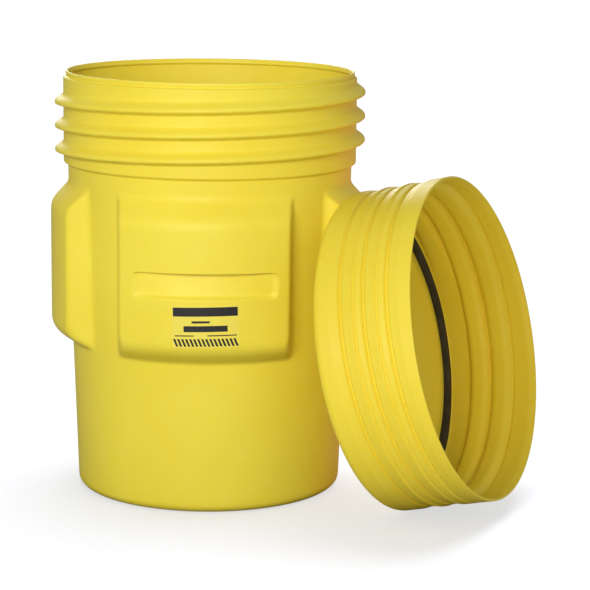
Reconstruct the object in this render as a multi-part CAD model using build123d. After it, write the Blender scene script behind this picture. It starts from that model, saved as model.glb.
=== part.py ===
"""Overpack salvage drum: open-top plastic drum with four lugs, and its screw lid leaning beside it.

Frame: origin at the centre of the drum's flat base, +Z up, the labelled front lug towards -Y,
the unscrewed lid on the +X side. Millimetres.
"""
import os
from math import cos, radians, sin

from build123d import *

# ---------------------------------------------------------------- driving dimensions
WALL = 6.0                    # moulded wall of drum and lid
DRUM_HEIGHT = 1025.0
BASE_RADIUS = 324.5           # just above the base corner
BASE_CORNER = 23.0
BODY_TOP_RADIUS = 338.0       # tapering body, under the lugs
BODY_TOP_Z = 400.0
WAIST_RADIUS = 346.5          # body wall above, up to the neck step
NECK_STEP_Z = 802.0
NECK_RADIUS = 357.0
LIP_Z = 1013.0                # the inset lip bead starts here
LIP_RADIUS = 351.0

THREAD_PITCH = 57.6
THREAD_CREST_RADIUS = 378.0
THREAD_TURNS = 2.9
THREAD_START_ANGLE = 105.0    # degrees about +Z
THREAD_START_Z = 821.5        # crest height at the start angle
THREAD_ROOT_WIDTH = 34.0

LUG_RADIUS = 389.0            # outer face, concentric with the drum
LUG_TURN = 0.0                # degrees, the lug pattern about +Z
LUG_TOP_Z = 757.0
LUG_SHOULDER_Z = 700.0
LUG_FOOT_Z = 416.0
LUG_ROOT_Z = 368.0
LUG_HALF_WIDTH_FRONT = 200.0
LUG_HALF_WIDTH_SIDE = 201.0
LUG_EDGE_RADIUS = 14.0

GRIP_TOP_Z = 588.0
GRIP_BOTTOM_Z = 527.0
GRIP_HALF_WIDTH = 168.0
GRIP_SHIFT = 4.0              # along the face
GRIP_DEPTH = 27.0
GRIP_UNDERCUT = 9.0

LABEL_WIDTH = 155.0
LABEL_HEIGHT = 98.0
LABEL_CENTRE_Z = 465.0
LABEL_SHIFT = 5.7             # along the face, towards +X
LABEL_TILT = 1.3              # degrees, counter-clockwise on the face
LABEL_FILM = 0.4
LABEL_INK = 0.2

LID_RADIUS = 385.5
LID_BORE = 380.0
LID_DEPTH = 246.0             # mouth edge to the outermost face of the closed end
LID_RIDGE_RADIUS = 361.0      # crest of the inside thread
LID_GROOVE_RADIUS = 376.5     # bottom of the narrow outside groove over the thread
LID_FOLD_RADIUS = 381.5       # bottom of the shallower groove between its turns
LID_FOLD_OFFSET = 34.0        # from the groove, towards the mouth
LID_FOLD_TURNS = 1.75
LID_THREAD_TURNS = 2.75
LID_THREAD_START = -200.0     # centre of the ridge at its inner end, from the mouth edge
LID_SEAT = 231.0              # mouth edge to the inside face that carries the gasket
LID_CORNER = 20.0
LID_PLUG_RADIUS = 298.0       # the centre panel drops into the drum mouth
LID_PLUG_DROP = 12.0
LID_TURN_BARS = 4

GASKET_OUTER = 358.5
GASKET_INNER = 334.5
GASKET_THICK = 14.0

LID_REACH = 702.6             # drum axis to the centre of the lid's mouth, level
LID_RISE = 427.0              # height of the centre of the lid's mouth
LID_AZIMUTH = -24.1           # direction from the drum to the lid, which its mouth faces
LID_ELEVATION = 13.0


# ---------------------------------------------------------------- helpers
def turned(points):
    """Solid of revolution about Z from a closed (r, z) outline."""
    face = make_face(Polyline(*[(r, 0, z) for r, z in points], close=True))
    return revolve(face, axis=Axis.Z)


def helical_band(radius, outline, turns, start_angle, start_z, rounding=5.0):
    """Sweep an (outward, axial) outline along a right-hand helix of the thread's pitch."""
    path = Helix(THREAD_PITCH, THREAD_PITCH * turns, radius)
    plane = Plane(origin=path @ 0, x_dir=(1, 0, 0), z_dir=path % 0)
    face = plane * make_face(Polyline(*[(r, -z) for r, z in outline], close=True))
    corners = [v for v in face.vertices() if abs(Vector(v.X, v.Y).length - radius) > 3.5]
    face = fillet(corners, rounding)
    band = sweep(face, path=path, is_frenet=True)
    return Pos(0, 0, start_z) * Rot(0, 0, start_angle) * band


def rounded_box(x0, x1, y0, y1, z0, z1):
    """Axis-aligned box from its limits."""
    size = (x1 - x0, y1 - y0, z1 - z0)
    centre = ((x0 + x1) / 2, (y0 + y1) / 2, (z0 + z1) / 2)
    return Pos(*centre) * Box(*size)


# ---------------------------------------------------------------- drum
def body_solid(inset):
    """Body, neck and lip of the drum, pulled in by inset, open upwards when inset > 0."""
    top = DRUM_HEIGHT if inset == 0 else DRUM_HEIGHT + 5
    corner = BASE_CORNER - inset
    foot = [(0, inset), (BASE_RADIUS - BASE_CORNER, inset)]
    for k in range(1, 6):
        a = radians(18 * k)
        foot.append((BASE_RADIUS - BASE_CORNER + corner * sin(a), BASE_CORNER - corner * cos(a)))
    wall = [
        (BODY_TOP_RADIUS - inset, BODY_TOP_Z),
        (WAIST_RADIUS - inset, NECK_STEP_Z - 7),
        (NECK_RADIUS - inset, NECK_STEP_Z + 7),
        (NECK_RADIUS - inset, LIP_Z - 4),
        (LIP_RADIUS - inset, LIP_Z + 2),
    ]
    if inset == 0:
        wall += [(LIP_RADIUS, top - 5), (LIP_RADIUS - 2, top)]
    else:
        wall.append((LIP_RADIUS - inset, top))
    wall.append((0, top))
    return turned(foot + wall)


def lug_solid(half_width, inset):
    """One lug towards -Y: a curved pad with sloping top and rounded foot."""
    r = LUG_RADIUS - inset
    profile = [
        (250, LUG_TOP_Z - inset * 1.5),
        (WAIST_RADIUS - 8, LUG_TOP_Z - inset * 1.5),
        (WAIST_RADIUS + 6 - inset, LUG_TOP_Z - 12 - inset * 0.5),
        (r - 17, LUG_SHOULDER_Z + 24),
        (r - 4, LUG_SHOULDER_Z + 6),
        (r, LUG_SHOULDER_Z - 12),
        (r, LUG_FOOT_Z + 6),
        (r - 3, LUG_FOOT_Z - 8),
        (r - 12, LUG_FOOT_Z - 22),
        (r - 34, LUG_FOOT_Z - 38 + inset * 0.5),
        (r - 54, LUG_ROOT_Z + inset * 1.5),
        (250, LUG_ROOT_Z + inset * 1.5),
    ]
    ring = turned(profile)
    w = half_width - inset
    slab = rounded_box(-w, w, -450, -200, 300, 800)
    edge = fillet(slab.edges().filter_by(Axis.Z), 1.0)
    pad = ring & edge
    outer = [e for e in pad.edges().filter_by(Axis.Z) if e.center().Y < -300]
    return fillet(outer, LUG_EDGE_RADIUS - inset)


def grip_pocket(grow):
    """Hand-hold pocket in a lug: undercut at the top, sloping back out to the lower edge."""
    r = LUG_RADIUS
    depth = GRIP_DEPTH + grow
    points = [
        (r + 30, GRIP_TOP_Z + grow),
        (r - 6, GRIP_TOP_Z + grow),
        (r - depth + 8, GRIP_TOP_Z + GRIP_UNDERCUT + grow),
        (r - depth, GRIP_TOP_Z + GRIP_UNDERCUT - 8 + grow),
        (r - depth, GRIP_TOP_Z - 14),
        (r - 8 - grow, GRIP_BOTTOM_Z + 9 - grow),
        (r, GRIP_BOTTOM_Z - grow),
        (r + 30, GRIP_BOTTOM_Z - grow),
    ]
    half = GRIP_HALF_WIDTH + grow
    slab = rounded_box(GRIP_SHIFT - half, GRIP_SHIFT + half, -450, -250, 400, 700)
    return turned(points) & slab


def drum_shell():
    """The one-piece drum: outer form less inner form, with the outside screw thread."""
    outer = body_solid(0)
    inner = body_solid(WALL)
    for k in range(4):
        half = LUG_HALF_WIDTH_FRONT if k % 2 == 0 else LUG_HALF_WIDTH_SIDE
        turn = Rot(0, 0, LUG_TURN + 90 * k)
        outer += turn * lug_solid(half, 0)
        inner += turn * lug_solid(half, WALL)
    for k in (0, 2):
        turn = Rot(0, 0, LUG_TURN + 90 * k)
        outer -= turn * grip_pocket(0)
        inner -= turn * grip_pocket(WALL)
    shell = outer - inner
    rise = THREAD_CREST_RADIUS - NECK_RADIUS
    half = THREAD_ROOT_WIDTH / 2
    outline = [(-3, -half), (0, -half), (rise - 1, -7), (rise, 1), (rise - 1, 8), (0, half + 4), (-3, half + 4)]
    thread = helical_band(NECK_RADIUS, outline, THREAD_TURNS, THREAD_START_ANGLE, THREAD_START_Z)
    return shell + thread


# ---------------------------------------------------------------- lid, built mouth up at z = 0
def lid_shell():
    """Screw lid: closed end, skirt with inside ridge and outside groove, turning bars."""
    seat = -LID_SEAT
    face = -LID_DEPTH
    outline = [
        (LID_BORE + 1.5, 0), (LID_RADIUS - 1.5, 0), (LID_RADIUS, -2),
        (LID_RADIUS, face + LID_CORNER),
        (LID_RADIUS - 6, face + 6), (LID_RADIUS - LID_CORNER, face),
        (LID_PLUG_RADIUS + 22, face),
        (LID_PLUG_RADIUS + 10, face + 2),
        (LID_PLUG_RADIUS - 2, face + LID_DEPTH - LID_SEAT + LID_PLUG_DROP - WALL),
        (0, face + LID_DEPTH - LID_SEAT + LID_PLUG_DROP - WALL),
        (0, seat + LID_PLUG_DROP),
        (LID_PLUG_RADIUS, seat + LID_PLUG_DROP),
        (LID_PLUG_RADIUS + 8, seat),
        (LID_BORE - 8, seat), (LID_BORE, seat + 8),
        (LID_BORE, -1.5),
    ]
    shell = turned(outline)
    start = LID_THREAD_START
    groove_depth = LID_RADIUS - LID_GROOVE_RADIUS
    groove = [(5, -11.5), (0, -7.5), (-groove_depth, 0), (0, 7.5), (5, 11.5)]
    fold_depth = LID_RADIUS - LID_FOLD_RADIUS
    fold = [(5, -13), (0, -6), (-fold_depth, 0), (0, 6), (5, 13)]
    ridge_rise = LID_BORE - LID_RIDGE_RADIUS
    ridge = [(3, -27), (0, -27), (-ridge_rise, -15), (-ridge_rise, 15), (0, 27), (3, 27)]
    shell += helical_band(LID_BORE, ridge, LID_THREAD_TURNS, 0, start)
    shell -= helical_band(LID_RADIUS, groove, LID_THREAD_TURNS, 0, start, 2.0)
    shell -= helical_band(LID_RADIUS, fold, LID_FOLD_TURNS, 0, start + LID_FOLD_OFFSET, 2.0)
    floor = face + LID_DEPTH - LID_SEAT + LID_PLUG_DROP - WALL
    for k in range(LID_TURN_BARS):
        bar = rounded_box(130, 280, -22, 22, face + 1, floor + 1)
        bar = fillet(bar.edges().filter_by(Axis.Z), 12.0)
        shell += Rot(0, 0, 45 + 90 * k) * bar
    return shell


def lid_gasket():
    """Flat rubber ring seated against the inside of the closed end."""
    z0 = -LID_SEAT + 0.02
    z1 = z0 + GASKET_THICK
    points = [
        (GASKET_INNER, z0), (GASKET_OUTER, z0), (GASKET_OUTER, z1 - 1.5), (GASKET_OUTER - 1.5, z1),
        (GASKET_INNER + 1.5, z1), (GASKET_INNER, z1 - 1.5),
    ]
    return turned(points)


def lid_location():
    """Placement of the leaning lid: local +Z out of the mouth."""
    el = radians(LID_ELEVATION)
    az = radians(LID_AZIMUTH)
    out = (cos(el) * cos(az), cos(el) * sin(az), sin(el))
    side = (-sin(az), cos(az), 0)
    mouth = (LID_REACH * cos(az), LID_REACH * sin(az), LID_RISE)
    return Plane(origin=mouth, x_dir=side, z_dir=out).location


# ---------------------------------------------------------------- label on the front lug
def face_patch(cx, cz, width, height, lift, thick, tilt=LABEL_TILT, slant=0.0):
    """Thin patch on the front lug's curved face; cx, cz are measured from the label centre."""
    ring = Cylinder(LUG_RADIUS + lift + thick, 400) - Cylinder(LUG_RADIUS + lift, 400)
    ring = Pos(0, 0, LABEL_CENTRE_Z) * ring
    half = height / 2
    skew = half * slant
    corners = [
        (cx - width / 2 + skew, cz - half), (cx + width / 2 + skew, cz - half),
        (cx + width / 2 - skew, cz + half), (cx - width / 2 - skew, cz + half),
    ]
    a = radians(-tilt)
    turned_corners = [
        (x * cos(a) + z * sin(a) + LABEL_SHIFT, -x * sin(a) + z * cos(a) + LABEL_CENTRE_Z)
        for x, z in corners
    ]
    outline = make_face(Polyline(*[(x, -430, z) for x, z in turned_corners], close=True))
    cutter = extrude(outline, amount=130, dir=(0, 1, 0))
    return Rot(0, 0, LUG_TURN) * (ring & cutter)


def label_film():
    """The printed label's film."""
    return face_patch(0, 0, LABEL_WIDTH, LABEL_HEIGHT, 0.02, LABEL_FILM)


def label_ink():
    """Printed areas: header band, plain bars in place of words, slanted warning stripes."""
    lift = 0.02 + LABEL_FILM
    w, h = LABEL_WIDTH, LABEL_HEIGHT
    patches = [face_patch(0, h / 2 - 13, w - 5, 21, lift, LABEL_INK)]
    patches.append(face_patch(-11, 12, 42, 5, lift, LABEL_INK))
    patches.append(face_patch(0, -4, 102, 14, lift, LABEL_INK))
    patches.append(face_patch(-50, -20, 44, 2.5, lift, LABEL_INK))
    patches.append(face_patch(38, -20, 68, 2.5, lift, LABEL_INK))
    count = 16
    step = (w - 6) / count
    for k in range(count):
        x = -w / 2 + 3 + step * (k + 0.5)
        patches.append(face_patch(x, -h / 2 + 12.5, step * 0.56, 18, lift, LABEL_INK, slant=0.4))
    return patches


# ---------------------------------------------------------------- write the pieces
def main():
    """Build every piece and write one STEP file per node."""
    os.makedirs("parts", exist_ok=True)
    lean = lid_location()
    nodes = {
        "drum_shell": drum_shell(),
        "lid_shell": lean * lid_shell(),
        "lid_gasket": lean * lid_gasket(),
        "label_film": label_film(),
        "label_ink": Compound(label_ink()),
    }
    for name, shape in nodes.items():
        box = shape.bounding_box()
        print(name, round(shape.volume / 1e3, 1), "cm3", box.min, box.max, len(shape.solids()), "solid(s)")
        export_step(shape, f"parts/{name}.step")
    print("lid to drum gap", round(nodes["drum_shell"].distance_to(nodes["lid_shell"]), 2))


main()
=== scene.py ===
"""Overpack salvage drum: a one-piece yellow drum, its screw lid leaning beside it, gasket and label.

Metres, +Z up, drum axis on Z, labelled front lug towards -Y, lid on the +X side. The mouldings are
worked out in millimetres, as stacks of rings, and become metres when they are skinned.
"""

import itertools
import logging
import math
from dataclasses import dataclass
from enum import Enum

import bmesh
import bpy
import numpy as np
from mathutils import Euler, Matrix, Vector


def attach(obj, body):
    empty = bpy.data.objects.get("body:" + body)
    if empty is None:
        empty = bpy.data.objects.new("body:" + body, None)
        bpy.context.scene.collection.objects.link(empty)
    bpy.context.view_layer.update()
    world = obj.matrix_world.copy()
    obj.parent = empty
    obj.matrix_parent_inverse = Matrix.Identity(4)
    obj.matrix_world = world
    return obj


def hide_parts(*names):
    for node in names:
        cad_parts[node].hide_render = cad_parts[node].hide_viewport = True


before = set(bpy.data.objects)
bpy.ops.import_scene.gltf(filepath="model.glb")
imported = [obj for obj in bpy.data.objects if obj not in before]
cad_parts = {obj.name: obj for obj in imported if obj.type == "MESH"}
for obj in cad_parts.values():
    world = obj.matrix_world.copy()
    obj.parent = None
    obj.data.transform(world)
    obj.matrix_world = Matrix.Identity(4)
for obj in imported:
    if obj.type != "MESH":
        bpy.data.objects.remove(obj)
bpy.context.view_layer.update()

LOG = logging.getLogger("salvage_drum")
MM = 0.001
FAR = 900.0  # beyond every wall, in millimetres
THREAD_LEAD = 57.6  # of neck and lid, in millimetres

Colour = tuple[float, float, float]
Place = tuple[float, float, float]
Socket = bpy.types.NodeSocket
Stops = tuple[tuple[float, float], ...]
Rows = list[tuple[np.ndarray, np.ndarray]]

WHITE: Colour = (1.0, 1.0, 1.0)


class Body(Enum):
    """Rigid bodies that pieces ride on."""

    DRUM = "drum"
    GASKET = "gasket"
    LID = "lid"


# ---------------------------------------------------------------- shape arithmetic (millimetres)
def smooth_step(x: np.ndarray) -> np.ndarray:
    """Return the 0 to 1 smooth ramp of x, clamped."""
    t = np.clip(x, 0.0, 1.0)
    return t * t * (3.0 - 2.0 * t)


def soft_min(a: np.ndarray, b: np.ndarray, k: np.ndarray | float) -> np.ndarray:
    """Blend two surfaces at their lower envelope with a fillet.

    Args:
        a: First height.
        b: Second height.
        k: Width over which the two blend.

    Returns:
        The lower of the two, rounded where they cross.
    """
    h = np.clip(0.5 + 0.5 * (b - a) / k, 0.0, 1.0)
    return b * (1.0 - h) + a * h - k * h * (1.0 - h)


def soft_max(a: np.ndarray, b: np.ndarray, k: np.ndarray | float) -> np.ndarray:
    """Return the upper of two surfaces, rounded where they cross over a width k."""
    return -soft_min(-a, -b, k)


@dataclass(frozen=True)
class Outline:
    """A radius that varies with height, drawn through points and rounded."""

    points: Stops
    rounding: float
    margin: float = 40.0
    step: float = 0.5
    kernel_reach: float = 3.0

    def radius(self, z: np.ndarray) -> np.ndarray:
        """Return the rounded radius at each height z."""
        heights, radii = zip(*self.points)
        grid = np.arange(heights[0] - self.margin, heights[-1] + self.margin, self.step)
        reach = int(self.rounding * self.kernel_reach / self.step) + 1
        kernel = np.exp(-0.5 * (np.arange(-reach, reach + 1) * self.step / self.rounding) ** 2)
        padded = np.pad(np.interp(grid, heights, radii), reach, mode="edge")
        return np.interp(z, grid, np.convolve(padded, kernel / kernel.sum(), mode="valid"))


@dataclass(frozen=True)
class Thread:
    """A moulded right-hand thread: one ridge wound round the axis.

    Its flanks are smooth steps, or with a power given a dome whose flanks meet the next turn's in a crease.
    """

    lead: float
    turns: float
    start_angle: float
    start_z: float
    height: float
    upper_width: float
    lower_width: float
    crest_width: float
    run_out: float = 40.0
    power: float = 0.0
    crest_rounding: float = 1.5

    def lift(self, angle: np.ndarray, z: np.ndarray) -> np.ndarray:
        """Return how far the ridge stands out.

        Args:
            angle: Angle about the axis, in degrees.
            z: Position along the axis.

        Returns:
            Radial height of the ridge at each point, 0 away from it.
        """
        along = (angle - self.start_angle) % 360.0
        crest = self.start_z + self.lead * along / 360.0
        turn = np.round((z - crest) / self.lead)
        total = along + 360.0 * turn
        v = z - crest - self.lead * turn
        if self.power > 0.0:
            across = np.hypot(v, self.crest_rounding) / self.upper_width
            ridge = 1.0 - np.clip(across, 0.0, 1.0) ** self.power
        else:
            above = (v - self.crest_width) / self.upper_width
            below = (-v - self.crest_width) / self.lower_width
            ridge = 1.0 - smooth_step(np.where(v > 0, above, below))
        start = smooth_step(total / self.run_out)
        end = smooth_step((360.0 * self.turns - total) / self.run_out)
        return self.height * ridge * (start * end)


def spread(stops: Stops) -> np.ndarray:
    """Lay out values between stops.

    Args:
        stops: Pairs of position and the step to use from there to the next position.

    Returns:
        Increasing or decreasing values that pass through every stop.
    """
    out: list[float] = []
    for (a, step), (b, _) in zip(stops[:-1], stops[1:]):
        n = max(1, round(abs(b - a) / step))
        out.extend(a + (b - a) * k / n for k in range(n))
    out.append(stops[-1][0])
    return np.array(out)


def turned(rows: Rows, angle: np.ndarray) -> np.ndarray:
    """Turn rows of radius and height round the axis.

    Args:
        rows: Radius and height of each row, at every angle.
        angle: The angles, in degrees.

    Returns:
        Points as rows x columns x 3.
    """
    turn = np.radians(angle)
    return np.array([np.stack([r * np.cos(turn), r * np.sin(turn), z], axis=1) for r, z in rows])


def ring_mesh(name: str, rings: np.ndarray, closed_ends: bool) -> bpy.types.Object:
    """Skin a stack of rings as one smooth mesh.

    Args:
        name: Object name.
        rings: Points as rows x columns x 3, in millimetres; every row is one closed ring.
        closed_ends: True to cap the first and last ring with a fan, False to join the last
            ring back to the first.

    Returns:
        The new object, in metres.
    """
    rows, cols = rings.shape[:2]
    mesh_bm = bmesh.new()
    verts = [mesh_bm.verts.new(p) for p in (rings.reshape(-1, 3) * MM)]
    for i in range(rows - 1 if closed_ends else rows):
        a, b = i * cols, ((i + 1) % rows) * cols
        for j in range(cols):
            k = (j + 1) % cols
            mesh_bm.faces.new((verts[a + j], verts[a + k], verts[b + k], verts[b + j]))
    if closed_ends:
        for i, flip in ((0, True), (rows - 1, False)):
            centre = mesh_bm.verts.new(rings[i].mean(axis=0) * MM)
            for j in range(cols):
                k = (j + 1) % cols
                trio = (verts[i * cols + j], verts[i * cols + k], centre)
                mesh_bm.faces.new(trio[::-1] if flip else trio)
    bmesh.ops.recalc_face_normals(mesh_bm, faces=mesh_bm.faces)
    mesh = bpy.data.meshes.new(name)
    mesh_bm.to_mesh(mesh)
    mesh_bm.free()
    for polygon in mesh.polygons:
        polygon.use_smooth = True
    piece = bpy.data.objects.new(name, mesh)
    bpy.context.scene.collection.objects.link(piece)
    return piece


# ---------------------------------------------------------------- finishes
@dataclass(frozen=True)
class Pattern:
    """One noise pattern: features per metre, finer layers, and how it dents the skin, in metres."""

    scale: float
    detail: float
    rough: float = 0.5
    bump: float = 0.0
    depth: float = 0.0


class NodeBench:
    """Adds and wires the nodes of one material."""

    pattern_span: tuple[float, float] = (0.3, 0.7)

    def __init__(self, name: str) -> None:
        """Start a material with a bare shader and output."""
        self.material = bpy.data.materials.new(name)
        self.material.use_nodes = True
        self.tree = self.material.node_tree
        self.tree.nodes.clear()
        self.output = self.tree.nodes.new("ShaderNodeOutputMaterial")
        self.shader = self.tree.nodes.new("ShaderNodeBsdfPrincipled")
        self.wire(self.shader.outputs["BSDF"], self.output.inputs["Surface"])
        self.place = self.tree.nodes.new("ShaderNodeTexCoord").outputs["Object"]

    def wire(self, out: Socket, into: Socket) -> None:
        """Join two sockets."""
        self.tree.links.new(out, into)

    def preset(self, **values: float | tuple[float, ...]) -> None:
        """Set the shader's own sockets; underscores in a name stand for spaces."""
        for name, value in values.items():
            self.shader.inputs[name.replace("_", " ")].default_value = value

    def noise(self, pattern: Pattern) -> Socket:
        """Add a noise pattern and return its value socket."""
        node = self.tree.nodes.new("ShaderNodeTexNoise")
        node.inputs["Scale"].default_value = pattern.scale
        node.inputs["Detail"].default_value = pattern.detail
        node.inputs["Roughness"].default_value = pattern.rough
        self.wire(self.place, node.inputs["Vector"])
        return node.outputs["Fac"]

    def ramp(self, value: Socket, *stops: tuple[float, Colour]) -> Socket:
        """Turn a value into colours through given stops."""
        node = self.tree.nodes.new("ShaderNodeValToRGB")
        for element, (position, colour) in zip(node.color_ramp.elements, stops, strict=True):
            element.position = position
            element.color = (*colour, 1.0)
        self.wire(value, node.inputs["Fac"])
        return node.outputs["Color"]

    def spanned(self, value: Socket, low: float, high: float) -> Socket:
        """Map a pattern's usual span onto a span of values."""
        node = self.tree.nodes.new("ShaderNodeMapRange")
        names = ("From Min", "From Max", "To Min", "To Max")
        for name, bound in zip(names, (*self.pattern_span, low, high)):
            node.inputs[name].default_value = bound
        self.wire(value, node.inputs["Value"])
        return node.outputs["Result"]

    def blended(self, a: Socket, b: Colour, share: Socket) -> Socket:
        """Mix colour a towards a fixed colour b by a share."""
        node = self.tree.nodes.new("ShaderNodeMix")
        node.data_type = "RGBA"
        self.wire(share, node.inputs["Factor"])
        self.wire(a, node.inputs["A"])
        node.inputs["B"].default_value = (*b, 1.0)
        return node.outputs["Result"]

    def bumps(self, *patterns: Pattern) -> None:
        """Chain patterns into the shader's normal as bump layers."""
        previous = None
        for pattern in patterns:
            node = self.tree.nodes.new("ShaderNodeBump")
            node.inputs["Strength"].default_value = pattern.bump
            node.inputs["Distance"].default_value = pattern.depth
            self.wire(self.noise(pattern), node.inputs["Height"])
            if previous is not None:
                self.wire(previous, node.inputs["Normal"])
            previous = node.outputs["Normal"]
        self.wire(previous, self.shader.inputs["Normal"])


@dataclass(frozen=True)
class MouldedPlastic:
    """Rotationally moulded polyethylene: warm yellow, soft gloss, faint orange peel."""

    name: str
    light: Colour = (0.925, 0.765, 0.058)
    deep: Colour = (0.885, 0.715, 0.042)
    scuff: Colour = (0.93, 0.82, 0.20)
    wear: float = 0.16
    gloss: tuple[float, float] = (0.44, 0.54)
    specular: float = 0.30
    refraction: float = 1.5
    glow_through: float = 0.12
    glow_colour: Colour = (1.0, 0.6, 0.12)
    glow_depth: float = 0.006
    cloud: Pattern = Pattern(3.2, 4.0, 0.55)
    cloud_span: tuple[float, float] = (0.34, 0.62)
    specks: Pattern = Pattern(34.0, 8.0, 0.72)
    grain: Pattern = Pattern(260.0, 3.0, 0.6, bump=0.10, depth=0.0006)
    peel: Pattern = Pattern(46.0, 2.0, bump=0.10, depth=0.0012)
    swell: Pattern = Pattern(7.0, 2.0, bump=0.16, depth=0.004)

    def material(self) -> bpy.types.Material:
        """Return the node material."""
        bench = NodeBench(self.name)
        specks = bench.noise(self.specks)
        fresh = bench.ramp(bench.noise(self.cloud), *zip(self.cloud_span, (self.deep, self.light)))
        worn = bench.blended(fresh, self.scuff, bench.spanned(specks, 0.0, self.wear))
        bench.wire(worn, bench.shader.inputs["Base Color"])
        bench.wire(bench.spanned(specks, *self.gloss), bench.shader.inputs["Roughness"])
        bench.preset(
            IOR=self.refraction,
            Specular_IOR_Level=self.specular,
            Subsurface_Weight=self.glow_through,
            Subsurface_Radius=self.glow_colour,
            Subsurface_Scale=self.glow_depth,
        )
        bench.bumps(self.grain, self.peel, self.swell)
        return bench.material


@dataclass(frozen=True)
class FoamRubber:
    """Black closed-cell rubber with fine pores and a dusty bloom."""

    name: str
    dark: Colour = (0.012, 0.010, 0.009)
    bloom: Colour = (0.045, 0.038, 0.034)
    gloss: tuple[float, float] = (0.62, 0.8)
    dust: Pattern = Pattern(22.0, 5.0, 0.6)
    dust_span: tuple[float, float] = (0.35, 0.7)
    pores: Pattern = Pattern(900.0, 4.0, 0.6, bump=0.35, depth=0.0005)
    unevenness: Pattern = Pattern(60.0, 2.0, bump=0.2, depth=0.001)

    def material(self) -> bpy.types.Material:
        """Return the node material."""
        bench = NodeBench(self.name)
        dust = bench.noise(self.dust)
        colour = bench.ramp(dust, *zip(self.dust_span, (self.dark, self.bloom)))
        bench.wire(colour, bench.shader.inputs["Base Color"])
        bench.wire(bench.spanned(dust, *self.gloss), bench.shader.inputs["Roughness"])
        bench.bumps(self.pores, self.unevenness)
        return bench.material


@dataclass(frozen=True)
class PrintedFilm:
    """Glossy label film, or the ink on it, with slight mottling."""

    name: str
    face: Colour
    faded: Colour
    gloss: tuple[float, float] = (0.28, 0.42)
    mottle: Pattern = Pattern(120.0, 5.0, 0.65)
    mottle_span: tuple[float, float] = (0.3, 0.6)
    waviness: Pattern = Pattern(90.0, 3.0, bump=0.12, depth=0.0004)

    def material(self) -> bpy.types.Material:
        """Return the node material."""
        bench = NodeBench(self.name)
        mottle = bench.noise(self.mottle)
        colour = bench.ramp(mottle, *zip(self.mottle_span, (self.faded, self.face)))
        bench.wire(colour, bench.shader.inputs["Base Color"])
        bench.wire(bench.spanned(mottle, *self.gloss), bench.shader.inputs["Roughness"])
        bench.bumps(self.waviness)
        return bench.material


@dataclass(frozen=True)
class StudioSweep:
    """Plain pale floor with a very faint mottle; it throws back less light than it shows."""

    name: str
    tone: float = 0.37
    glow: float = 0.655
    bounce: float = 0.30
    roughness: float = 0.9
    specular: float = 0.1
    mottle: Pattern = Pattern(1.5, 2.0)
    mottle_span: tuple[float, float] = (0.3, 0.7)
    pale_tint: Colour = (1.0, 1.03, 1.2)
    paler_tint: Colour = (1.02, 1.05, 1.22)

    def material(self) -> bpy.types.Material:
        """Return the node material."""
        bench = NodeBench(self.name)
        tints = [tuple(self.tone * part for part in tint) for tint in (self.pale_tint, self.paler_tint)]
        colour = bench.ramp(bench.noise(self.mottle), *zip(self.mottle_span, tints))
        bench.wire(colour, bench.shader.inputs["Base Color"])
        bench.preset(
            Roughness=self.roughness,
            Specular_IOR_Level=self.specular,
            Emission_Color=(*WHITE, 1.0),
            Emission_Strength=self.glow,
        )
        dull = bench.tree.nodes.new("ShaderNodeBsdfDiffuse")
        dull.inputs["Color"].default_value = (self.bounce, self.bounce, self.bounce, 1.0)
        seen = bench.tree.nodes.new("ShaderNodeLightPath").outputs["Is Camera Ray"]
        either = bench.tree.nodes.new("ShaderNodeMixShader")
        bench.wire(seen, either.inputs["Fac"])
        bench.wire(dull.outputs["BSDF"], either.inputs[1])
        bench.wire(bench.shader.outputs["BSDF"], either.inputs[2])
        bench.wire(either.outputs["Shader"], bench.output.inputs["Surface"])
        return bench.material


def dress(piece: bpy.types.Object, material: bpy.types.Material) -> None:
    """Give a piece one material in its only slot."""
    piece.data.materials.clear()
    piece.data.materials.append(material)


# ---------------------------------------------------------------- drum
@dataclass(frozen=True)
class Lug:
    """One stand-off lug moulded into the drum's wall."""

    angle: float
    half_width: float
    grip: bool

    def offset(self, angle: np.ndarray) -> np.ndarray:
        """Return the signed angle from the lug's middle, in degrees."""
        return (angle - self.angle + 180.0) % 360.0 - 180.0


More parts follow.
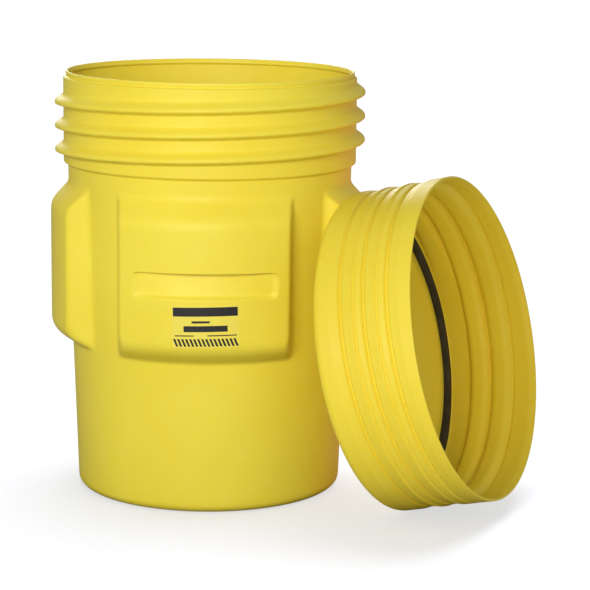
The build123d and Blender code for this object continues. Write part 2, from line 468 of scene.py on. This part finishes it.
@dataclass(frozen=True)
class HandHold:
    """The recess in a lug's face: a ledge, a slope inwards, and an overhang that fingers reach under."""

    top: float = 588.0
    bottom: float = 527.0
    half_width: float = 168.0
    off_centre: float = 4.0
    depth: float = 24.0
    end_share: float = 0.30
    corner: float = 20.0
    margin: float = 4.0
    edge_blend: float = 9.0
    edge_bias: float = 0.1
    top_overrun: float = 1.5
    top_blend: float = 8.0
    ledge: float = 10.0
    ledge_blend: float = 6.0
    slope_start: float = 4.0
    slope_end: float = 16.0
    slope_power: float = 0.9
    undercut: float = 12.0
    undercut_start: float = 20.0
    undercut_end: float = 6.0

    def push(self, x: np.ndarray, z: np.ndarray) -> tuple[np.ndarray, np.ndarray]:
        """Return how far the recess pushes the wall inwards and upwards.

        Args:
            x: Distance along the lug's face from the recess's middle.
            z: Height.

        Returns:
            Inward depth and upward shift at each point.
        """
        low, top = self.bottom, self.top
        middle, half = (top + low) / 2.0, (top - low) / 2.0
        dx = np.maximum(np.abs(x) - self.half_width + self.corner, 0.0)
        dz = np.maximum(np.abs(z - middle) - half - self.margin + self.corner, 0.0)
        mask = smooth_step((self.corner - np.hypot(dx, dz)) / self.edge_blend + self.edge_bias)
        enter = smooth_step((top + self.top_overrun - z) / self.top_blend)
        bow = 1.0 - (1.0 - self.end_share) * np.clip(x / self.half_width, -1.0, 1.0) ** 2
        run = (z - low - self.slope_start) / (top - self.slope_end - low)
        slope = np.clip(run, 0.0, 1.0) ** self.slope_power
        ledge = self.ledge * smooth_step((z - low) / self.ledge_blend)
        sunk = ledge + (self.depth * bow - self.ledge) * slope
        climb = top - low - self.undercut_start - self.undercut_end
        rise = smooth_step((z - (low + self.undercut_start)) / climb)
        return sunk * enter * mask, self.undercut * bow * enter * rise * mask


@dataclass
class DrumShell:
    """The one-piece drum: base, tapering body, lugs, hand-holds, neck thread and lip."""

    wall: float = 6.0
    base_radius: float = 324.5
    base_corner: float = 23.0
    height: float = 1025.0
    lip_radius: float = 351.4
    lip_section: Stops = ((0.0, -3.2), (0.5, -1.6), (1.6, -0.4), (2.8, 0.0), (3.8, -0.3), (5.2, -1.5))
    body: Outline = Outline(
        (
            (0, 323.7), (400, 338.0), (799, 346.5), (805, 357.0), (1010.5, 357.0),
            (1012.5, 349.6), (1016, 350.2), (1018, 351.4), (1025, 351.4),
        ),
        0.6,
    )
    lug_face: Outline = Outline(
        (
            (340, 300.0), (366, 334.0), (378, 355.0), (394, 377.0), (408, 386.4), (421, 389.0),
            (690, 389.0), (706, 386.4), (721, 375.5), (746, 352.0), (757, 343.0), (790, 310.0),
        ),
        3.8,
    )
    lugs: tuple[Lug, ...] = (
        Lug(-90.0, 200.0, True),
        Lug(0.0, 201.0, False),
        Lug(90.0, 200.0, True),
        Lug(180.0, 201.0, False),
    )
    lug_draft: float = 0.07
    lug_top_radius: float = 389.0
    lug_reach: float = 60.0
    lug_least_offset: float = 0.5
    lug_edge: float = 9.0
    lug_foot_edge: float = 16.0
    lug_foot_top: float = 440.0
    lug_foot_blend: float = 40.0
    lug_root: float = 9.0
    lug_root_inside: float = 14.0
    lug_relief_inside: float = 1.0
    grip: HandHold = HandHold()
    grip_roof_share: float = 0.4
    grip_roof_from: float = 0.5
    thread: Thread = Thread(
        lead=THREAD_LEAD,
        turns=2.9,
        start_angle=105.0,
        start_z=820.5,
        height=20.9,
        upper_width=21.0,
        lower_width=9.5,
        crest_width=2.0,
    )
    column_stops: Stops = ((-45, 1.3), (-38, 0.66), (-24.5, 2.0), (24.5, 0.66), (38, 1.3), (45, 1.0))
    outer_stops: Stops = (
        (26.0, 22.0), (334.0, 4.0), (424.0, 12.0), (516.0, 3.0), (572.0, 2.0), (579.0, 0.9), (592.0, 4.0),
        (600.0, 14.0), (676.0, 4.5), (784.0, 2.8), (796.0, 1.2), (809.0, 2.6), (1006.0, 0.8), (1020.0, 1.0),
    )
    inner_stops: Stops = (
        (1018.0, 2.0), (1006.0, 20.0), (816.0, 4.0), (788.0, 8.0), (690.0, 24.0), (600.0, 3.0),
        (570.0, 7.0), (520.0, 30.0), (430.0, 9.0), (340.0, 50.0), (30.0, 10.0),
    )
    underside_rings: tuple[float, ...] = (60.0, 180.0, 285.0)
    floor_rings: tuple[float, ...] = (285.0, 150.0, 40.0)

    def columns(self) -> np.ndarray:
        """Return the angles, in degrees, at which the wall is cut, closer at the lugs' edges."""
        local = spread(self.column_stops)[:-1]
        return np.array([lug.angle + a for lug in self.lugs for a in local])

    def lug_radius(self, angle: np.ndarray, z: np.ndarray) -> np.ndarray:
        """Return the lugs' own radius, far below the wall's away from them.

        Args:
            angle: Angle about the drum's axis, in degrees.
            z: Height.

        Returns:
            Radius of the nearest lug's skin, without its hand-hold.
        """
        best = np.zeros(np.broadcast(angle, z).shape)
        face = self.lug_face.radius(z)
        foot = smooth_step((self.lug_foot_top - z) / self.lug_foot_blend)
        edge = self.lug_edge + self.lug_foot_edge * foot
        for lug in self.lugs:
            offset = np.abs(lug.offset(angle))
            near = offset < self.lug_reach
            leaning = np.where(near, np.maximum(offset, self.lug_least_offset), self.lug_reach)
            draft = self.lug_top_radius * self.lug_draft
            side = (lug.half_width + draft) / (np.sin(np.radians(leaning)) + self.lug_draft)
            skin = soft_min(np.minimum(side, FAR), face, edge)
            best = np.where(near, np.maximum(best, skin), best)
        return best

    def grip_shift(self, angle: np.ndarray, z: np.ndarray) -> tuple[np.ndarray, np.ndarray]:
        """Return how far the hand-holds push the wall inwards and upwards.

        Args:
            angle: Angle about the drum's axis, in degrees.
            z: Height.

        Returns:
            Inward depth and upward shift at each point.
        """
        depth = np.zeros(np.broadcast(angle, z).shape)
        shift = np.zeros_like(depth)
        for lug in filter(lambda each: each.grip, self.lugs):
            offset = lug.offset(angle)
            along = self.lug_top_radius * np.sin(np.radians(offset)) - self.grip.off_centre
            inwards, upwards = self.grip.push(np.where(np.abs(offset) < self.lug_reach, along, FAR), z)
            depth += inwards
            shift += upwards
        return depth, shift

    def outer(self, angle: np.ndarray, z: np.ndarray) -> tuple[np.ndarray, np.ndarray]:
        """Return radius and height of the outside skin.

        Args:
            angle: Angle about the drum's axis, in degrees.
            z: Nominal height of the row.

        Returns:
            Radius and height of each point.
        """
        radius = soft_max(self.body.radius(z), self.lug_radius(angle, z), self.lug_root)
        radius = radius + self.thread.lift(angle, z)
        depth, shift = self.grip_shift(angle, z)
        return radius - depth, z + shift

    def inner(self, angle: np.ndarray, z: np.ndarray) -> tuple[np.ndarray, np.ndarray]:
        """Return radius and height of the inside skin, one wall in from the outside."""
        lug = self.lug_radius(angle, z) - self.lug_relief_inside
        radius = soft_max(self.body.radius(z), lug, self.lug_root_inside)
        depth, shift = self.grip_shift(angle, z)
        roof = self.grip_roof_share * self.wall * (shift > self.grip_roof_from)
        return radius - depth - self.wall, z + shift + roof

    def underside(self, full: np.ndarray) -> Rows:
        """Return the rows from the middle of the underside up round its corner."""
        flat = self.base_radius - self.base_corner
        rows = [(r * full, 0.0 * full) for r in (*self.underside_rings, flat)]
        for a in np.radians(np.arange(12, 90, 13)):
            r = self.base_radius - self.base_corner * (1.0 - math.sin(a))
            rows.append((r * full, self.base_corner * (1.0 - math.cos(a)) * full))
        return rows

    def lip(self, full: np.ndarray) -> Rows:
        """Return the rows over the lip, from outside to inside."""
        section = (*self.lip_section, (self.wall, self.lip_section[0][1]))
        return [((self.lip_radius - r) * full, (self.height + z) * full) for r, z in section]

    def floor(self, full: np.ndarray) -> Rows:
        """Return the rows round the inside corner and in to the middle of the floor."""
        rows: Rows = []
        reach = self.base_corner - self.wall
        for a in np.radians(np.arange(75, 0, -18)):
            r = self.base_radius - self.base_corner + reach * math.sin(a)
            rows.append((r * full, (self.base_corner - reach * math.cos(a)) * full))
        rows.extend((r * full, self.wall * full) for r in self.floor_rings)
        return rows

    def rings(self) -> np.ndarray:
        """Return all rings from the centre of the underside, up, over the lip and down inside."""
        angle = self.columns()
        full = np.ones_like(angle)
        rows = self.underside(full)
        rows.extend(self.outer(angle, z * full) for z in spread(self.outer_stops))
        rows.extend(self.lip(full))
        rows.extend(self.inner(angle, z * full) for z in spread(self.inner_stops))
        rows.extend(self.floor(full))
        return turned(rows, angle)

    def build(self, finish: MouldedPlastic) -> bpy.types.Object:
        """Make the drum's mesh and hand it over to the drum body.

        Args:
            finish: The plastic it is moulded in.

        Returns:
            The finished piece.
        """
        piece = ring_mesh("drum_moulding", self.rings(), closed_ends=True)
        dress(piece, finish.material())
        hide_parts("drum_shell")
        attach(piece, Body.DRUM.value)
        return piece


# ---------------------------------------------------------------- lid
@dataclass
class LeaningLid:
    """The screw lid: closed end, threaded skirt and turning bars, built mouth up and then leaned.

    Positions along its axis count from the mouth, and are negative towards the closed end.
    """

    radius: float = 385.5
    bore: float = 380.0
    depth: float = 246.0
    seat: float = 231.0
    corner: float = 20.0
    wall: float = 6.0
    plug_radius: float = 298.0
    plug_drop: float = 12.0
    bar_inner: float = 130.0
    bar_outer: float = 280.0
    bar_half_width: float = 22.0
    bar_sunk: float = 2.0
    bar_end_blend: float = 14.0
    bar_side_blend: float = 10.0
    bar_side_bias: float = 0.2
    reach: float = 702.6
    rise: float = 427.0
    azimuth: float = -24.1
    elevation: float = 13.0
    lead: float = THREAD_LEAD
    run_out: float = 70.0
    thread_turns: float = 2.75
    thread_start: float = -200.0
    ridge_height: float = 18.5
    ridge_power: float = 4.0
    swell: float = 4.0
    swell_power: float = 1.4
    groove_depth: float = 10.0
    groove_half_width: float = 6.5
    fold_depth: float = 6.0
    fold_half_width: float = 5.0
    fold_offset: float = 34.0
    fold_turns: float = 1.75
    crease_power: float = 1.0
    band_rise: float = 4.0
    band_start: float = -3.0
    band_blend: float = 14.0
    band_crease: float = 7.0
    columns: int = 280
    bar_stops: Stops = ((30.0, 30.0), (112.0, 6.0), (160.0, 20.0), (260.0, 5.0), (286.0, 5.0))
    recess_edge: tuple[float, ...] = (0.0, 0.15, 0.35, 0.6, 0.82, 0.95, 1.0)
    recess_edge_from: float = -5.0
    recess_edge_width: float = 17.0
    plug_edge: tuple[float, ...] = (0.1, 0.3, 0.5, 0.7, 0.9, 1.0)
    plug_edge_from: float = 10.0
    plug_edge_width: float = 14.0
    seat_corner: Stops = ((1.0, 5.0), (4.0, 1.5), (9.0, 0.0))
    plug_rings: tuple[float, ...] = (280.0, 160.0, 40.0)

    def placement(self) -> Matrix:
        """Return the matrix that leans the lid beside the drum, in millimetres."""
        az, el = math.radians(self.azimuth), math.radians(self.elevation)
        out = Vector((math.cos(el) * math.cos(az), math.cos(el) * math.sin(az), math.sin(el)))
        side = Vector((-math.sin(az), math.cos(az), 0.0))
        up = out.cross(side)
        turn = Matrix((side, up, out)).transposed().to_4x4()
        mouth = Vector((self.reach * math.cos(az), self.reach * math.sin(az), self.rise))
        return Matrix.Translation(mouth) @ turn

    def leaned(self, rings: np.ndarray) -> np.ndarray:
        """Carry local points to the lid's leaning place."""
        place = np.array(self.placement())
        return rings @ place[:3, :3].T + place[:3, 3]

    def wound(self, height: float, half_width: float, power: float, turns: float, offset: float = 0.0) -> Thread:
        """Wind a domed ridge that follows the lid's thread.

        Args:
            height: How far it stands out.
            half_width: Half its width along the axis.
            power: Shape of its dome; 1 is a sharp crease.
            turns: Number of turns.
            offset: Distance along the axis from the thread itself.

        Returns:
            The ridge.
        """
        return Thread(
            lead=self.lead,
            turns=turns,
            start_angle=0.0,
            start_z=self.thread_start + offset,
            height=height,
            upper_width=half_width,
            lower_width=half_width,
            crest_width=0.0,
            run_out=self.run_out,
            power=power,
        )

    def grooves(self) -> tuple[Thread, ...]:
        """Return the outside's swell, the groove over the inside thread, and the fold between its turns."""
        crease = self.crease_power
        return (
            self.wound(self.swell, self.lead / 2.0, self.swell_power, self.thread_turns),
            self.wound(self.groove_depth, self.groove_half_width, crease, self.thread_turns),
            self.wound(self.fold_depth, self.fold_half_width, crease, self.fold_turns, self.fold_offset),
        )

    def banded(self, angle: np.ndarray, s: float, band: float) -> np.ndarray:
        """Return the mouth band's own thickness inside, which ends in a crease along the last turn.

        Args:
            angle: Angle about the lid's axis, in degrees.
            s: Position along the axis.
            band: Thickness at this position, away from the crease.

        Returns:
            The band's rise at each angle.
        """
        end = self.thread_start + self.lead * (self.thread_turns + 0.5)
        near = end - self.lead * ((360.0 * self.thread_turns - angle) % 360.0) / 360.0
        return band * smooth_step((s - near) / self.band_crease)

    def bar_lift(self, angle: np.ndarray, r: float) -> np.ndarray:
        """Return how far the four turning bars stand out of the recess at radius r."""
        across = np.abs(r * np.sin(np.radians(angle % 90.0 - 45.0)))
        start = smooth_step((r - self.bar_inner) / self.bar_end_blend)
        end = smooth_step((self.bar_outer - r) / self.bar_end_blend)
        side = smooth_step((self.bar_half_width - across) / self.bar_side_blend + self.bar_side_bias)
        return (self.plug_drop - self.bar_sunk) * (start * end) * side

    def outside(self, angle: np.ndarray, full: np.ndarray) -> Rows:
        """Return the rows from the middle of the outer face, round its corner and along the skirt."""
        rows: Rows = []
        face = -self.depth
        recess = -self.seat + self.plug_drop - self.wall
        for r in spread(self.bar_stops):
            rows.append((r * full, recess - self.bar_lift(angle, float(r))))
        for t in self.recess_edge:
            r = self.plug_radius + self.recess_edge_from + self.recess_edge_width * t
            rows.append((r * full, (recess + (face - recess) * float(smooth_step(np.array(t)))) * full))
        for r in (self.plug_radius + 20.0, self.radius - self.corner - 8.0):
            rows.append((r * full, face * full))
        for a in np.radians(np.arange(0, 91, 11.25)):
            r = self.radius - self.corner * (1.0 - math.sin(a))
            rows.append((r * full, (face + self.corner * (1.0 - math.cos(a))) * full))
        grooves = self.grooves()
        for s in spread(((face + self.corner + 4.0, 1.2), (-14.0, 5.0), (-4.0, 1.0))):
            rows.append((self.radius - sum(groove.lift(angle, s * full) for groove in grooves), s * full))
        return rows

    def mouth_edge(self, full: np.ndarray) -> Rows:
        """Return the rows round the mouth's rounded edge."""
        middle, half = (self.radius + self.bore) / 2.0, (self.radius - self.bore) / 2.0
        return [
            ((middle + half * math.cos(a)) * full, (-half + half * math.sin(a)) * full)
            for a in np.radians(np.arange(0, 181, 22.5))
        ]

    def inside(self, angle: np.ndarray, full: np.ndarray) -> Rows:
        """Return the rows down the threaded bore, over the seat and in to the middle of the plug."""
        rows: Rows = []
        ridge = self.wound(self.ridge_height, self.lead / 2.0, self.ridge_power, self.thread_turns)
        for s in spread(((-5.0, 5.0), (-20.0, 2.0), (-self.seat + 9.0, 1.0))):
            band = self.band_rise * float(smooth_step(np.array((self.band_start - s) / self.band_blend)))
            lift = np.maximum(ridge.lift(angle, s * full), self.banded(angle, s, band))
            rows.append((self.bore - lift, s * full))
        for inset, s in self.seat_corner:
            rows.append(((self.bore - inset) * full, (-self.seat + s) * full))
        rows.append(((self.plug_radius + 12.0) * full, -self.seat * full))
        for t in self.plug_edge:
            r = self.plug_radius + self.plug_edge_from - self.plug_edge_width * t
            lift = self.plug_drop * float(smooth_step(np.array(t)))
            rows.append((r * full, (-self.seat + lift) * full))
        rows.extend((r * full, (-self.seat + self.plug_drop) * full) for r in self.plug_rings)
        return rows

    def rings(self) -> np.ndarray:
        """Return all rings from the centre of the outer face, round the skirt, to the inner centre."""
        angle = np.arange(self.columns) * 360.0 / self.columns
        full = np.ones_like(angle)
        rows = [*self.outside(angle, full), *self.mouth_edge(full), *self.inside(angle, full)]
        return self.leaned(turned(rows, angle))

    def build(self, finish: MouldedPlastic) -> bpy.types.Object:
        """Make the lid's mesh and hand it over to the lid body.

        Args:
            finish: The plastic it is moulded in.

        Returns:
            The finished piece.
        """
        piece = ring_mesh("lid_moulding", self.rings(), closed_ends=True)
        dress(piece, finish.material())
        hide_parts("lid_shell")
        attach(piece, Body.LID.value)
        return piece


@dataclass
class SealRing:
    """The rubber ring held inside the lid's closed end."""

    lid: LeaningLid
    outer: float = 358.5
    inner: float = 334.5
    thick: float = 14.0
    round: float = 3.0
    seat_gap: float = 0.1
    face_from: float = 6.0
    ripples: tuple[tuple[float, float, float], ...] = ((0.35, 5.0, 0.6), (0.2, 13.0, 0.0))
    sag: float = 0.5
    columns: int = 240

    def rings(self) -> np.ndarray:
        """Return the section's rings, with rounded corners and a slightly uneven face."""
        turn = np.arange(self.columns) * 2.0 * math.pi / self.columns
        low = -self.lid.seat + self.seat_gap
        section: list[tuple[float, float]] = []
        corners = (
            (self.outer - self.round, low + self.round, -90.0),
            (self.outer - self.round, low + self.thick - self.round, 0.0),
            (self.inner + self.round, low + self.thick - self.round, 90.0),
            (self.inner + self.round, low + self.round, 180.0),
        )
        for r, s, start in corners:
            for k in range(4):
                a = math.radians(start + 30.0 * k)
                section.append((r + self.round * math.cos(a), s + self.round * math.sin(a)))
        wave = sum(height * np.sin(turn * count + start) for height, count, start in self.ripples)
        rows = []
        for r, s in section:
            lifted = s + (wave - self.sag) * float(s > low + self.face_from)
            rows.append(np.stack([r * np.cos(turn), r * np.sin(turn), lifted], axis=1))
        return self.lid.leaned(np.array(rows))

    def build(self, finish: FoamRubber) -> bpy.types.Object:
        """Make the ring's mesh and hand it over to the gasket body.

        Args:
            finish: Its rubber.

        Returns:
            The finished piece.
        """
        piece = ring_mesh("seal_ring", self.rings(), closed_ends=False)
        dress(piece, finish.material())
        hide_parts("lid_gasket")
        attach(piece, Body.GASKET.value)
        return piece


# ---------------------------------------------------------------- label
@dataclass
class FrontLabel:
    """The printed label on the front lug: film and ink keep their shapes and get finishes."""

    film: PrintedFilm = PrintedFilm("label_film_gloss", (0.92, 0.78, 0.10), (0.89, 0.73, 0.085))
    ink: PrintedFilm = PrintedFilm("label_black_ink", (0.012, 0.012, 0.012), (0.03, 0.028, 0.025))

    def build(self) -> list[bpy.types.Object]:
        """Dress both label nodes and return them."""
        pieces = []
        for node, finish in (("label_film", self.film), ("label_ink", self.ink)):
            piece = bpy.data.objects[node]
            coat = finish.material()
            for slot in piece.material_slots:
                slot.material = coat
            pieces.append(piece)
        return pieces


# ---------------------------------------------------------------- studio
@dataclass(frozen=True)
class SoftLamp:
    """A square soft light that falls on the pieces of some bodies alone."""

    name: str
    place: Place
    aim: Place
    size: float
    power: float
    tint: Colour
    lit: tuple[Body, ...]

    def hang(self) -> bpy.types.Object:
        """Make the lamp and return it."""
        data = bpy.data.lights.new(self.name, "AREA")
        data.size = self.size
        data.energy = self.power
        data.color = self.tint
        lamp = bpy.data.objects.new(self.name, data)
        lamp.location = self.place
        lamp.rotation_euler = (Vector(self.aim) - Vector(self.place)).to_track_quat("-Z", "Y").to_euler()
        bpy.context.scene.collection.objects.link(lamp)
        return lamp


@dataclass
class Studio:
    """Pale floor, soft lights and the camera."""

    eye: Place = (0.2115, -5.5022, 1.5010)
    tilt_down: float = 10.606
    roll: float = 0.647
    lens: float = 137.87
    sensor: float = 36.0
    sight: float = 100.0
    floor_half: float = 120.0
    floor_drop: float = 0.0004
    wash_power: float = 2.3
    wash_spread: float = 42.0
    wash_tilt: tuple[float, float] = (-14.0, 5.0)
    wash_tint: Colour = (0.985, 0.99, 1.0)
    surround: float = 0.37
    lamps: tuple[SoftLamp, ...] = (
        SoftLamp("drum_key", (-1.05, -6.0, 2.5), (0.1, 0.0, 0.5), 2.2, 255.0, (1.0, 0.99, 0.97), (Body.DRUM,)),
        SoftLamp("lid_key", (-3.1, -5.8, 1.9), (0.6, -0.3, 0.4), 2.2, 170.0, (0.97, 1.0, 0.97), (Body.LID,)),
        SoftLamp("warm_fill", (1.5, 0.9, 0.25), (0.2, 0.0, 0.35), 0.6, 6.0, (1.0, 0.26, 0.04), (Body.DRUM,)),
        SoftLamp("lid_fill", (1.0, -6.2, 1.0), (0.6, -0.3, 0.4), 2.0, 112.0, (1.0, 0.80, 0.42), (Body.LID,)),
        SoftLamp("back_fill", (-1.2, 6.2, 3.0), (0.2, 0.0, 0.4), 2.6, 190.0, WHITE, (Body.DRUM, Body.LID)),
    )

    def floor(self) -> bpy.types.Object:
        """Lay the floor, a hair under the drum's base."""
        floor_bm = bmesh.new()
        half = self.floor_half
        corners = ((-half, -half), (half, -half), (half, half), (-half, half))
        floor_bm.faces.new([floor_bm.verts.new((x, y, -self.floor_drop)) for x, y in corners])
        mesh = bpy.data.meshes.new("studio_floor")
        floor_bm.to_mesh(mesh)
        floor_bm.free()
        floor = bpy.data.objects.new("studio_floor", mesh)
        bpy.context.scene.collection.objects.link(floor)
        dress(floor, StudioSweep("studio_sweep").material())
        return floor

    def light_only(self, lamp: bpy.types.Object, pieces: list[bpy.types.Object]) -> None:
        """Let one lamp light the given pieces alone.

        Args:
            lamp: The lamp.
            pieces: What it lights.
        """
        lit = bpy.data.collections.new(f"{lamp.name}_receivers")
        for piece in pieces:
            lit.objects.link(piece)
        lamp.light_linking.receiver_collection = lit

    def floor_wash(self, floor: bpy.types.Object) -> None:
        """Light the floor alone, evenly, so that it stays pale with a soft shadow under drum and lid."""
        data = bpy.data.lights.new("floor_wash", "SUN")
        data.energy = self.wash_power
        data.angle = math.radians(self.wash_spread)
        data.color = self.wash_tint
        wash = bpy.data.objects.new("floor_wash", data)
        wash.rotation_euler = (*map(math.radians, self.wash_tilt), 0.0)
        bpy.context.scene.collection.objects.link(wash)
        self.light_only(wash, [floor])

    def lights(self, pieces: dict[Body, list[bpy.types.Object]]) -> None:
        """Hang every soft lamp over the pieces that it lights and set the surround.

        Args:
            pieces: The finished pieces, under the body whose lamps light them.
        """
        for lamp in self.lamps:
            lit = [piece for body in lamp.lit for piece in pieces[body]]
            self.light_only(lamp.hang(), lit)
        world = bpy.data.worlds.new("studio_surround")
        world.use_nodes = True
        shade = world.node_tree.nodes["Background"]
        shade.inputs["Color"].default_value = (*WHITE, 1.0)
        shade.inputs["Strength"].default_value = self.surround
        bpy.context.scene.world = world

    def camera(self) -> bpy.types.Object:
        """Set the camera up at its place and make it the scene's own."""
        data = bpy.data.cameras.new("studio_camera")
        data.lens = self.lens
        data.sensor_width = self.sensor
        data.clip_end = self.sight
        camera = bpy.data.objects.new("studio_camera", data)
        aim = Euler((math.radians(90.0 - self.tilt_down), 0.0, 0.0)).to_matrix().to_4x4()
        roll = Matrix.Rotation(math.radians(self.roll), 4, "Z")
        camera.matrix_world = Matrix.Translation(Vector(self.eye)) @ aim @ roll
        bpy.context.scene.collection.objects.link(camera)
        bpy.context.scene.camera = camera
        return camera


def main() -> None:
    """Build every piece in order and report each one."""
    logging.basicConfig(level=logging.INFO, format="%(name)s: %(message)s")
    bpy.context.scene.view_settings.view_transform = "Standard"
    studio = Studio()
    studio.camera()
    studio.floor_wash(studio.floor())
    lid = LeaningLid()
    drum_pieces = [DrumShell().build(MouldedPlastic("drum_polyethylene")), *FrontLabel().build()]
    lid_pieces = [
        lid.build(MouldedPlastic("lid_polyethylene")),
        SealRing(lid).build(FoamRubber("gasket_foam")),
    ]
    pieces = {Body.DRUM: drum_pieces, Body.LID: lid_pieces}
    for piece in itertools.chain(*pieces.values()):
        LOG.info("%s: %d faces", piece.name, len(piece.data.polygons))
    studio.lights(pieces)


if __name__ == "__main__":
    main()
